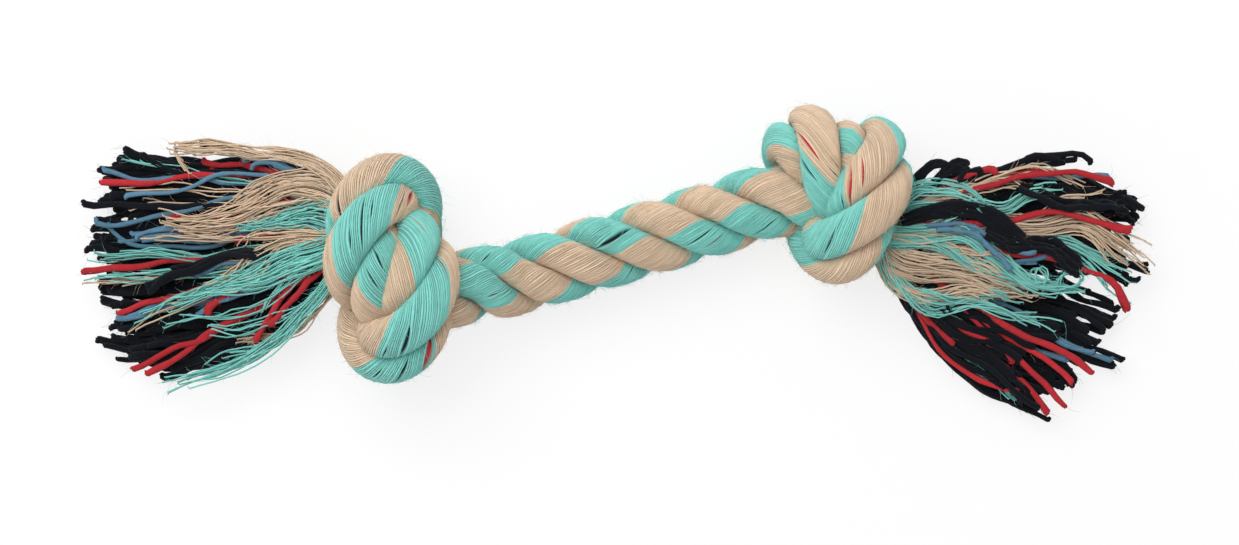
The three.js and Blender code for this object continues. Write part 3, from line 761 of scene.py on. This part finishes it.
locks["left", "mint"] = [
    (13, 0.9, 0.1, [17, 15, 6, 2], [(352, 230), (328, 213), (290, 218), (263, 224), (240, 228)]),
    (16, 0.93, 0.15, [13, 12, 9, 5], [(352, 240), (330, 249), (300, 256), (265, 272), (235, 284),
        (200, 292)]),
    (8, 0.88, 0.3, [8, 8, 4, 5], [(352, 245), (325, 262), (290, 275), (250, 288), (218, 288), (165, 303)]),
    (8, 0.72, 0.5, [2, 3, 6], [(345, 235), (290, 243), (235, 254), (203, 258), (170, 252), (118, 257),
        (92, 254)]),
    (6, 0.68, 0.3, [3, 4, 3], [(345, 240), (250, 266), (200, 275), (156, 275), (118, 276), (85, 277)]),
    (4, 0.75, 0.5, [3, 4, 3], [(345, 245), (260, 275), (200, 292), (178, 298), (132, 319)]),
    (12, 0.8, 0.2, [6, 6, 6, 7], [(350, 262), (330, 280), (316, 303), (290, 325), (281, 338), (256, 356),
        (230, 367), (168, 387)]),
    (4, 0.8, 0.3, [3], [(350, 258), (320, 295), (285, 316), (247, 331), (200, 330)]),
    (3, 0.75, 0.3, [2, 3, 3], [(345, 258), (300, 320), (261, 349), (233, 349), (205, 362)]),
    (3, 0.8, 0.2, [1, 3, 2], [(345, 248), (282, 292), (266, 310), (220, 315), (190, 318), (154, 324)]),
    (2, 0.85, 0.1, [1, 2], [(345, 248), (300, 270), (266, 301), (262, 325)]),
    (2, 0.6, 0.3, [1, 3], [(345, 215), (250, 180), (170, 172), (120, 158), (112, 152)]),
]
locks["right", "black"] = [
    (18, 0.1, 0.6, [15, 38, 52, 52, 40], [root, (890, 226), (950, 218), (1020, 218), (1080, 222),
        (1132, 236)]),
    (14, 0.25, 0.6, [13, 34, 46, 46, 34], [root, (890, 228), (950, 220), (1020, 220), (1080, 224),
        (1126, 240)]),
    (10, 0.12, 0.5, [8, 20, 34, 34], [root, (890, 242), (960, 268), (1040, 300), (1108, 335)]),
    (16, 0.1, 0.5, [12, 32, 46, 42], [root, (896, 254), (945, 300), (1000, 342), (1062, 386)]),
    (14, 0.25, 0.5, [10, 28, 40, 38], [root, (896, 254), (945, 300), (1000, 340), (1056, 380)]),
    (2, 0.85, 0.2, [2], [root, (890, 215), (919, 172), (933, 161), (945, 164), (955, 170), (985, 168)]),
    (2, 0.8, 0.2, [2], [root, (890, 215), (930, 185), (952, 167), (962, 165), (968, 172), (960, 185)]),
    (5, 0.6, 1, [6, 8, 6], [root, (890, 215), (940, 192), (980, 190), (1024, 186), (1062, 197)]),
    (3, 0.92, 0.8, [4, 6, 5], [(1020, 186), (1040, 196), (1065, 202), (1100, 206), (1132, 212)]),
    (2, 0.7, 0.3, [2], [root, (890, 215), (980, 180), (1024, 166), (1038, 158), (1062, 159), (1080, 157),
        (1088, 164)]),
    (6, 0.5, 0.9, [6, 10, 8], [root, (890, 222), (960, 205), (1036, 196), (1080, 192), (1114, 195),
        (1138, 212)]),
    (4, 0.6, 0.8, [5, 6, 4], [root, (890, 226), (960, 215), (1036, 210), (1085, 206), (1136, 213)]),
    (4, 0.97, 0.5, [4, 7, 6], [(900, 222), (936, 208), (975, 210), (1005, 222), (1024, 238), (1037, 252)]),
    (4, 0.93, 0.6, [5, 8, 7], [(985, 232), (1010, 244), (1045, 248), (1071, 258), (1086, 270)]),
    (4, 0.4, 0.6, [4, 6, 4], [root, (890, 232), (1000, 235), (1060, 232), (1100, 245), (1130, 268),
        (1152, 271)]),
    (4, 0.4, 0.6, [4, 6, 4], [root, (890, 238), (1000, 250), (1080, 262), (1120, 272), (1148, 282)]),
    (6, 0.35, 0.6, [7, 12, 12], [root, (890, 255), (950, 285), (1010, 300), (1060, 315), (1105, 335)]),
    (6, 0.35, 0.6, [6, 12, 12], [root, (898, 258), (930, 321), (957, 350), (1000, 375), (1030, 390)]),
    (6, 0.4, 0.6, [6, 12, 12], [root, (897, 256), (945, 310), (1000, 345), (1050, 370), (1075, 388)]),
    (5, 0.3, 0.6, [6, 10, 10], [root, (890, 255), (960, 300), (1030, 325), (1080, 350), (1118, 368)]),
    (3, 0.3, 0.6, [3, 6, 5], [root, (897, 260), (925, 322), (960, 370), (1010, 400), (1053, 420)]),
    (7, 0.7, 0.6, [5, 14, 14], [root, (890, 254), (930, 308), (975, 335), (1030, 352)]),
    (6, 0.68, 0.6, [5, 10, 12], [root, (898, 258), (925, 318), (960, 350), (1010, 378), (1042, 402)]),
    (4, 0.74, 0.5, [3, 6, 6], [root, (890, 252), (960, 312), (1010, 322), (1060, 332)]),
]
locks["right", "red"] = [
    (1, 0.88, 0.2, [1], [root, (890, 215), (940, 190), (959, 180), (971, 176), (986, 171), (997, 169)]),
    (1, 0.85, 0.3, [1], [root, (890, 218), (1000, 178), (1030, 171), (1050, 169), (1060, 172)]),
    (1, 0.88, 0.2, [1], [root, (890, 218), (1000, 175), (1067, 168), (1083, 176), (1100, 181),
        (1114, 181)]),
    (1, 0.88, 0.2, [1], [root, (890, 225), (1000, 222), (1051, 216), (1076, 213), (1102, 219),
        (1133, 229)]),
    (1, 0.75, 0.3, [1], [root, (890, 240), (1040, 252), (1108, 279), (1121, 295), (1132, 308)]),
    (1, 0.85, 0.2, [1], [root, (890, 256), (912, 304), (932, 328), (944, 340), (954, 347)]),
    (1, 0.7, 0.2, [1], [root, (890, 260), (935, 345), (956, 366), (975, 378), (991, 386), (1007, 390),
        (1026, 386)]),
    (1, 0.88, 0.2, [1], [root, (890, 250), (990, 318), (1035, 341), (1057, 346), (1083, 358), (1097, 370)]),
    (1, 0.85, 0.2, [1], [root, (890, 250), (990, 325), (1030, 345), (1053, 358), (1064, 371), (1075, 384)]),
    (1, 0.8, 0.2, [1], [root, (890, 256), (980, 325), (1019, 358), (1038, 381), (1053, 396), (1067, 409)]),
    (1, 0.6, 0.2, [1], [root, (890, 256), (970, 335), (1019, 380), (1040, 402), (1051, 415)]),
    (1, 0.72, 0.2, [1], [root, (890, 256), (940, 315), (962, 333), (980, 340), (1007, 350), (1016, 362)]),
]
locks["right", "blue"] = [
    (1, 1, 0.3, [1], [(925, 226), (956, 224), (984, 234), (1007, 244), (1021, 252), (1037, 251)]),
    (1, 1, 0.3, [1], [(935, 230), (964, 228), (986, 243), (1002, 256), (1012, 268)]),
    (2, 0.8, 0.4, [1, 3], [root, (890, 238), (980, 262), (1017, 265), (1036, 262), (1055, 255)]),
    (1, 0.65, 0.3, [1], [root, (890, 250), (1000, 310), (1035, 350), (1053, 356), (1070, 362)]),
    (2, 0.6, 0.3, [1, 3], [root, (890, 250), (1000, 300), (1072, 346), (1103, 356), (1119, 366)]),
    (1, 0.6, 0.3, [1], [root, (890, 215), (1000, 175), (1080, 172), (1112, 172)]),
]
locks["right", "beige"] = [
    (6, 0.85, 0.3, [2, 4, 2], [root, (890, 222), (940, 195), (976, 185), (1017, 172), (1037, 163),
        (1062, 176), (1080, 186)]),
    (8, 0.82, 0.3, [3, 5, 4], [root, (890, 222), (930, 200), (970, 188), (1000, 182), (1017, 180),
        (1026, 187)]),
    (3, 0.8, 0.2, [2, 2, 1], [root, (890, 225), (1000, 215), (1042, 220), (1052, 203), (1067, 193),
        (1083, 195), (1116, 184)]),
    (14, 0.8, 0.6, [4, 6, 8, 10], [root, (890, 232), (960, 230), (1023, 226), (1045, 222), (1071, 217),
        (1097, 223), (1128, 238), (1153, 266)]),
    (8, 0.76, 0.6, [3, 4, 5, 5], [root, (890, 236), (960, 240), (1028, 240), (1054, 228), (1079, 228),
        (1097, 238), (1131, 267)]),
    (24, 0.9, 0.5, [14, 16, 13, 8], [root, (882, 252), (900, 266), (925, 265), (959, 270), (986, 277),
        (1010, 285), (1037, 294)]),
    (12, 0.95, 0.5, [6, 8, 7, 5], [root, (882, 262), (891, 286), (915, 300), (950, 294), (1000, 292)]),
    (6, 0.93, 0.3, [3, 4, 3], [root, (884, 240), (920, 242), (950, 246), (965, 254), (976, 257),
        (988, 252)]),
    (4, 0.45, 0.5, [2, 5], [root, (885, 262), (960, 330), (1010, 345), (1045, 350)]),
]
locks["right", "mint"] = [
    (10, 0.93, 0.2, [8, 8, 7, 4], [root, (888, 215), (900, 200), (916, 186), (942, 186), (962, 190),
        (980, 201), (992, 212)]),
    (8, 0.9, 0.3, [4, 5, 6, 7], [root, (888, 222), (904, 208), (930, 205), (959, 208), (980, 205),
        (1000, 212), (1019, 202), (1036, 190), (1067, 190)]),
    (3, 0.98, 0.1, [2], [root, (888, 228), (920, 227), (947, 220), (960, 210), (980, 205), (1003, 213)]),
    (14, 0.93, 0.3, [10, 9, 8, 6, 5], [root, (884, 238), (895, 236), (924, 236), (950, 232), (967, 233),
        (986, 247), (1007, 267), (1028, 284), (1080, 291)]),
    (10, 0.92, 0.3, [7, 7, 5, 4], [root, (884, 244), (900, 243), (924, 240), (942, 250), (959, 259),
        (986, 269), (1040, 292)]),
    (2, 1, 0, [1, 2], [(1008, 266), (1030, 284), (1046, 286), (1050, 272), (1037, 266), (1031, 278),
        (1045, 290)]),
    (2, 1, 0, [1, 2], [(1040, 287), (1066, 291), (1088, 282), (1080, 269), (1060, 275), (1058, 290)]),
    (10, 0.78, 0.3, [3, 4, 6, 6], [root, (888, 240), (980, 235), (1052, 240), (1071, 242), (1097, 254),
        (1140, 281)]),
    (5, 0.8, 0.3, [2, 3, 4], [root, (888, 242), (1000, 245), (1070, 245), (1090, 262), (1105, 285),
        (1130, 300)]),
    (9, 0.97, 0.7, [4, 6, 5, 3], [root, (884, 268), (905, 297), (930, 298), (957, 296), (990, 296),
        (1020, 298)]),
    (8, 0.94, 0.6, [4, 5, 5], [root, (884, 270), (926, 315), (950, 308), (969, 304), (1020, 312),
        (1055, 327)]),
    (4, 0.55, 0.5, [2, 4], [root, (884, 270), (950, 345), (1000, 385), (1023, 397), (1041, 414)]),
]


def lock_line(guide):
    """Spline along a lock's pixels, with a point added at each end, and the distance along it."""
    guide = np.array(guide, float)
    guide = np.vstack([2 * guide[0] - guide[1], guide, 2 * guide[-1] - guide[-2]])
    line = spline(guide, lock_spline_steps)
    return line, distances(line)


def yarn_rings(count, radius, length, rings, end_rings):
    """Share of a lock's length at each ring of its yarns, and the radius of each ring.

    The last rings stand closer together, on the round end of each yarn, whose profile is a quarter circle.
    """
    radii = radius * tassel_random.uniform(*yarn_radius_shares, (count, 1))
    reach = tassel_random.uniform(*yarn_reach_shares, (count, 1)) if count > 1 else np.ones((1, 1))
    cap = radii / (length * reach)
    bend = np.linspace(0, round_end_share, end_rings + 1)[1:] * math.pi / 2
    body = np.linspace(0, 1, rings - end_rings) * (1 - cap)
    t = np.concatenate([body, 1 - cap * (1 - np.sin(bend))], 1) * reach
    return t, radii * np.r_[np.ones(rings - end_rings), np.cos(bend)]


def lock_yarns(side_name, lock, radius, density, rings, end_rings):
    """Paths, radii and shares of length of a lock's yarns.

    A yarn follows the lock's middle line and goes straight on past its end. It lies at its seat across the
    lock, crimped in a helix that grows from the root, and strays by two random waves. From the knot's mouth
    it falls to its layer over the floor by a smoothstep.
    """
    planned, layer_share, crimp_share, widths, guide = lock
    count = planned if planned == 1 else round(planned * density)
    line, at = lock_line(guide)
    t, radii = yarn_rings(count, radius, at[-1] * pixel, rings, end_rings)
    inside = np.minimum(t, 1) * at[-1]
    past = np.maximum(t - 1, 0) * at[-1]
    onward = unit(line[-1] - line[-onward_steps])
    x = np.interp(inside, at, line[:, 0]) + past * onward[0]
    y = np.interp(inside, at, line[:, 1]) + past * onward[1]
    ahead_x = np.interp(inside, at, np.gradient(line[:, 0]))
    ahead_y = np.interp(inside, at, np.gradient(line[:, 1]))
    size = np.hypot(ahead_x, ahead_y)

    seat = (np.arange(count) + 0.5) / count * 2 - 1
    seat = seat[:, None] + tassel_random.normal(0, seat_spread_share, (count, 1)) / count
    half_width = np.interp(t, np.linspace(0, 1, len(widths)), widths)
    phase_spread = crimp_phase_share + max(widths) / crimp_phase_pixels
    phase = tassel_random.uniform(0, 1) + tassel_random.normal(0, phase_spread, (count, 1))
    wave = (t * at[-1] * pixel / tassel_random.uniform(*crimp_lengths) + phase) * math.tau
    grown = smooth(t / crimp_grown_share)
    crimp = crimp_size * crimp_share * grown
    places = np.linspace(0, tassel_reach, rings)
    stray = waver(tassel_random, count, places, stray_pitch)
    stray += fine_stray_share * waver(tassel_random, count, places, fine_stray_pitch)
    stray *= stray_size * grown * (root_stray_share + t)
    aside = seat * half_width + (np.sin(wave) * crimp + stray) / pixel
    x, y = x - ahead_y / size * aside, y + ahead_x / size * aside

    mouth_x, mouth_y = mouth_pixels[side_name]
    fallen = smooth(np.hypot(x - mouth_x, y - mouth_y) * pixel / (fall_share * tassel_reach))
    low = (mouth_heights[side_name] - mouth_half_height) * (1 - fallen) + lowest_layer * fallen
    high = (mouth_heights[side_name] + mouth_half_height) * (1 - fallen) + highest_layer * fallen
    uneven = tassel_random.uniform(-layer_spread_share, layer_spread_share, (count, 1))
    sunk_share = 0 if radius < thick_from or layer_share > top_layer_share else buried_share
    rise = np.clip(layer_share + uneven - sunk_share * (1 - smooth(t / buried_length_share)), 0, 1)
    z = low + (high - low) * rise + np.cos(wave) * crimp
    z = z + tassel_random.uniform(0, pile_radii, (count, 1)) * min(radius, thick_from)
    return place(x, y, z), radii, t


def tassel_hairs(paths, radii, tint):
    """Loose fibres of a tassel's yarns, each from a random ring and side of one of them, and their tints."""
    count = hairs_per_yarn * len(paths)
    yarns = tassel_random.integers(0, len(paths), count)
    rows = tassel_random.integers(hairless_rings, paths.shape[1] - hairless_rings, count)
    ahead = unit(paths[yarns, rows + 1] - paths[yarns, rows - 1])
    away = unit(np.cross(ahead, tassel_random.normal(0, 1, (count, 3))))
    size = tassel_random.uniform(*tassel_hair_lengths, (count, 1, 1))
    curl = tassel_random.normal(0, tassel_hair_curl_share, (count, 1, 1))
    feet = paths[yarns, rows] + hair_root_share * radii[yarns, rows][:, None] * away
    hairs = curled(feet, ahead, away, size, tassel_hair_lift_share, curl)
    return hairs, tint[yarns] * tassel_random.uniform(*tassel_hair_tone_shares, (count, 1))


thick_twist = {"twist_length": 0.006, "twist_depth": 0.0006}
thin_material = yarn_material("thin_yarn", **thin_twist, sheen=0.2, tone_share=0.14)
thick_material = yarn_material("core_yarn", **thick_twist, sheen=0.05, tone_share=0.35)
for side_name, knot in knots.items():
    mouth = place(*mouth_pixels[side_name], swing_height)
    grown = []
    for colour, base in tints.items():
        is_thin = colour in thin_colours
        rings, end_rings, sides_count = thin_mesh if is_thin else thick_mesh
        form = (yarn_radius[colour], yarn_density[colour], rings, end_rings)
        laid = [lock_yarns(side_name, lock, *form) for lock in locks[side_name, colour]]
        paths, radii, t = [np.concatenate(part) for part in zip(*laid)]
        copies = len(paths)
        if not is_thin:
            lumps = waver(tassel_random, copies, np.linspace(0, tassel_reach, rings), lump_pitch)
            frayed = smooth((t - frayed_from_share) / frayed_length_share)
            frayed = frayed * tassel_random.uniform(0, frayed_swell_share, (copies, 1))
            radii = radii * (1 + lump_share * lumps + frayed)
        paths[..., 2] = np.maximum(paths[..., 2], radii)
        tint = base * tassel_random.uniform(*tassel_tone_shares, (copies, 1))
        made = tubes(f"{side_name}_tassel_{colour}", paths, radii, sides_count, tint)
        made.data.materials.append(thin_material if is_thin else thick_material)
        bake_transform(made)
        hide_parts(*[f"{side_name}_tassel_{colour}_{strand}" for strand in (1, 2, 3)])
        grown.append(tassel_hairs(paths, radii, tint))
    made = hair_tubes(f"{side_name}_tassel_fuzz", grown)
    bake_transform(made)

# Table top: a plain white surface that the toy lies on.
# The camera sees it as mostly plain white, so that only a faint shadow stays on it.
floor_size = 6
floor_grey = 0.9
plain_white_share = 0.8
bpy.ops.mesh.primitive_plane_add(size=floor_size)
floor = bpy.context.object
floor.name = "floor"
floor_material = bpy.data.materials.new("floor")
floor_material.use_nodes = True
tree = floor_material.node_tree
lit = tree.nodes["Principled BSDF"]
wired(tree, lit, {"Base Color": (floor_grey, floor_grey, floor_grey, 1), "Roughness": 0.9})
white = wired(tree, tree.nodes.new("ShaderNodeEmission"), {"Color": (1, 1, 1, 1), "Strength": 1})
ray = tree.nodes.new("ShaderNodeLightPath").outputs
seen = worked(tree, "MAXIMUM", ray["Is Camera Ray"], ray["Is Glossy Ray"])
seen = worked(tree, "MAXIMUM", seen, ray["Is Transmission Ray"])
surface = wired(tree, tree.nodes.new("ShaderNodeMixShader"), {
    "Fac": worked(tree, "MULTIPLY", seen, plain_white_share),
    1: lit.outputs["BSDF"],
    2: white.outputs["Emission"],
})
wired(tree, tree.nodes["Material Output"], {"Surface": surface.outputs["Shader"]})
floor.data.materials.append(floor_material)

# Light: an even, pale room all round, and one wide, soft lamp above the left end, behind the toy.
# Together they light the yarns at about the level at which their colours are written.
room_strength = 0.56
lamp_place = (-0.35, 0.45, 1.1)
lamp_turn = (-0.38, -0.3, 0)
lamp_size = 0.9
lamp_power = 12
world = bpy.data.worlds.new("world")
bpy.context.scene.world = world
world.use_nodes = True
world.node_tree.nodes["Background"].inputs["Color"].default_value = (1, 1, 1, 1)
world.node_tree.nodes["Background"].inputs["Strength"].default_value = room_strength

lamp = bpy.data.objects.new("lamp", bpy.data.lights.new("lamp", "AREA"))
bpy.context.scene.collection.objects.link(lamp)
lamp.location = lamp_place
lamp.rotation_euler = lamp_turn
lamp.data.size = lamp_size
lamp.data.energy = lamp_power

bpy.context.scene.view_settings.view_transform = "Standard"
